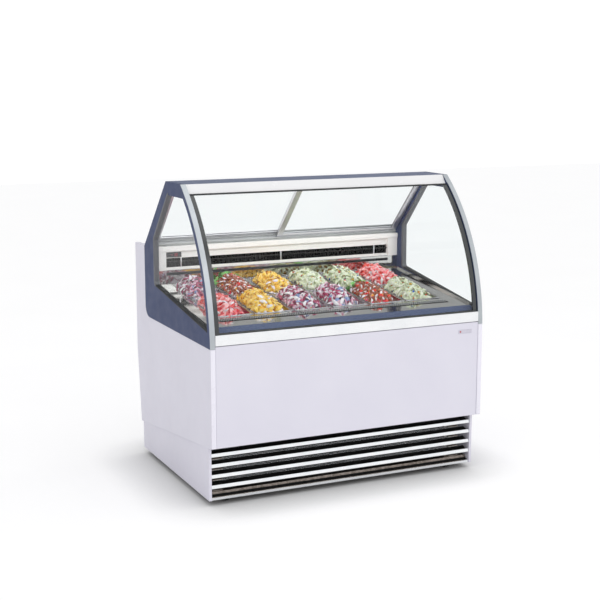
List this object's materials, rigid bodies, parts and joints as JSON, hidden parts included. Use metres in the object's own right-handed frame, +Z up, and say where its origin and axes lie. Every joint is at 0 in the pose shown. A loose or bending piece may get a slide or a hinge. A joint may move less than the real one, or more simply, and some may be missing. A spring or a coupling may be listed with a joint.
{
  "type": "ice cream dipping cabinet",
  "caption": "Curved-glass ice cream dipping cabinet with a sloping deck of lift-out pans, rear sliding doors, a tilting front glass and a louvred plinth.",
  "frame": {"origin": "on the floor at the centre of the footprint", "axes": "+Z up, +X to the right of a customer facing the front, front towards -Y"},
  "size_m": [1.24, 0.92, 1.265],
  "materials": {
    "white_panel": "satin",
    "white_sheet": "satin",
    "blue_frame": "satin",
    "blue_sheet": "satin",
    "aluminium_trim": "satin",
    "white_fascia": "gloss",
    "stainless": "satin",
    "clear_glass": "polished",
    "white_duct": "satin",
    "black_grille": "matte",
    "display_black": "gloss",
    "track_grey": "satin",
    "door_aluminium": "satin",
    "galvanised_steel": "satin",
    "tub_foam": "matte",
    "black_rubber": "matte",
    "compressor_black": "satin",
    "fin_aluminium": "satin",
    "copper": "satin",
    "fan_black": "satin",
    "control_grey": "satin",
    "switch_red": "gloss",
    "rail_black": "satin",
    "ice_cream_berry": "matte",
    "ice_cream_chocolate": "matte",
    "ice_cream_mango": "matte",
    "ice_cream_pistachio": "matte",
    "ice_cream_strawberry": "matte"
  },
  "bodies": {
    "cabinet": {"base_frame": "galvanised_steel", "levelling_feet": "black_rubber", "plinth_panels": "white_panel", "grille_slats": "aluminium_trim", "left_side_panel": "white_panel", "right_side_panel": "white_panel", "front_panel": "white_sheet", "front_band": "aluminium_trim", "insulated_tub": "tub_foam", "front_ledge": "blue_sheet", "deck_frame": "stainless", "return_air_grille": "black_grille", "air_outlet_box": "white_duct", "temperature_display": "display_black", "left_side_frame": "blue_frame", "right_side_frame": "blue_frame", "edge_trims": "aluminium_trim", "side_glasses": "clear_glass", "canopy_cover": "blue_sheet", "canopy_fascia": "white_fascia", "door_tracks": "track_grey", "compressor": "compressor_black", "condenser_coil": "fin_aluminium", "evaporator_coil": "fin_aluminium", "refrigerant_pipes": "copper", "rear_panel": "white_sheet", "control_box": "control_grey"},
    "front_glass_unit": {"front_glass": "clear_glass", "front_glass_rail": "rail_black"},
    "left_door": {"left_door_frame": "door_aluminium", "left_door_glass": "clear_glass"},
    "right_door": {"right_door_frame": "door_aluminium", "right_door_glass": "clear_glass"},
    "condenser_fan_rotor": {"condenser_fan": "fan_black"},
    "evaporator_fan_rotor": {"evaporator_fan": "fan_black"},
    "switch_rocker": {"power_switch": "switch_red"},
    "pan_unit_front_1": {"pan_front_1": "stainless", "ice_cream_front_1": "ice_cream_strawberry"},
    "pan_unit_front_2": {"pan_front_2": "stainless", "ice_cream_front_2": "ice_cream_mango"},
    "pan_unit_front_3": {"pan_front_3": "stainless", "ice_cream_front_3": "ice_cream_berry"},
    "pan_unit_front_4": {"pan_front_4": "stainless", "ice_cream_front_4": "ice_cream_berry"},
    "pan_unit_front_5": {"pan_front_5": "stainless", "ice_cream_front_5": "ice_cream_chocolate"},
    "pan_unit_front_6": {"pan_front_6": "stainless", "ice_cream_front_6": "ice_cream_pistachio"},
    "pan_unit_rear_1": {"pan_rear_1": "stainless", "ice_cream_rear_1": "ice_cream_berry"},
    "pan_unit_rear_2": {"pan_rear_2": "stainless", "ice_cream_rear_2": "ice_cream_chocolate"},
    "pan_unit_rear_3": {"pan_rear_3": "stainless", "ice_cream_rear_3": "ice_cream_mango"},
    "pan_unit_rear_4": {"pan_rear_4": "stainless", "ice_cream_rear_4": "ice_cream_pistachio"},
    "pan_unit_rear_5": {"pan_rear_5": "stainless", "ice_cream_rear_5": "ice_cream_pistachio"},
    "pan_unit_rear_6": {"pan_rear_6": "stainless", "ice_cream_rear_6": "ice_cream_strawberry"}
  },
  "joints": [
    {"name": "front_glass_tilt", "type": "hinge", "parent": "cabinet", "child": "front_glass_unit", "pos_m": [0, -0.4435, 0.7045], "axis": [1, 0, 0], "range_deg": [0, 50]},
    {"name": "left_door_slide", "type": "slide", "parent": "cabinet", "child": "left_door", "axis": [1, 0, 0], "range_m": [0, 0.56]},
    {"name": "right_door_slide", "type": "slide", "parent": "cabinet", "child": "right_door", "axis": [1, 0, 0], "range_m": [-0.56, 0]},
    {"name": "condenser_fan_spin", "type": "hinge", "parent": "cabinet", "child": "condenser_fan_rotor", "pos_m": [-0.25, -0.185, 0.155], "axis": [0, 1, 0], "continuous": true},
    {"name": "evaporator_fan_spin", "type": "hinge", "parent": "cabinet", "child": "evaporator_fan_rotor", "pos_m": [-0.06, 0.1, 0.422], "axis": [0, 1, 0], "continuous": true},
    {"name": "power_switch_rock", "type": "hinge", "parent": "cabinet", "child": "switch_rocker", "pos_m": [0.45, 0.448, 0.88], "axis": [1, 0, 0], "range_deg": [0, 12]},
    {"name": "pan_front_1_lift", "type": "slide", "parent": "cabinet", "child": "pan_unit_front_1", "axis": [0, -0.1113, 0.9938], "range_m": [0, 0.15]},
    {"name": "pan_front_2_lift", "type": "slide", "parent": "cabinet", "child": "pan_unit_front_2", "axis": [0, -0.1113, 0.9938], "range_m": [0, 0.15]},
    {"name": "pan_front_3_lift", "type": "slide", "parent": "cabinet", "child": "pan_unit_front_3", "axis": [0, -0.1113, 0.9938], "range_m": [0, 0.15]},
    {"name": "pan_front_4_lift", "type": "slide", "parent": "cabinet", "child": "pan_unit_front_4", "axis": [0, -0.1113, 0.9938], "range_m": [0, 0.15]},
    {"name": "pan_front_5_lift", "type": "slide", "parent": "cabinet", "child": "pan_unit_front_5", "axis": [0, -0.1113, 0.9938], "range_m": [0, 0.15]},
    {"name": "pan_front_6_lift", "type": "slide", "parent": "cabinet", "child": "pan_unit_front_6", "axis": [0, -0.1113, 0.9938], "range_m": [0, 0.15]},
    {"name": "pan_rear_1_lift", "type": "slide", "parent": "cabinet", "child": "pan_unit_rear_1", "axis": [0, -0.1113, 0.9938], "range_m": [0, 0.15]},
    {"name": "pan_rear_2_lift", "type": "slide", "parent": "cabinet", "child": "pan_unit_rear_2", "axis": [0, -0.1113, 0.9938], "range_m": [0, 0.15]},
    {"name": "pan_rear_3_lift", "type": "slide", "parent": "cabinet", "child": "pan_unit_rear_3", "axis": [0, -0.1113, 0.9938], "range_m": [0, 0.15]},
    {"name": "pan_rear_4_lift", "type": "slide", "parent": "cabinet", "child": "pan_unit_rear_4", "axis": [0, -0.1113, 0.9938], "range_m": [0, 0.15]},
    {"name": "pan_rear_5_lift", "type": "slide", "parent": "cabinet", "child": "pan_unit_rear_5", "axis": [0, -0.1113, 0.9938], "range_m": [0, 0.15]},
    {"name": "pan_rear_6_lift", "type": "slide", "parent": "cabinet", "child": "pan_unit_rear_6", "axis": [0, -0.1113, 0.9938], "range_m": [0, 0.15]}
  ]
}
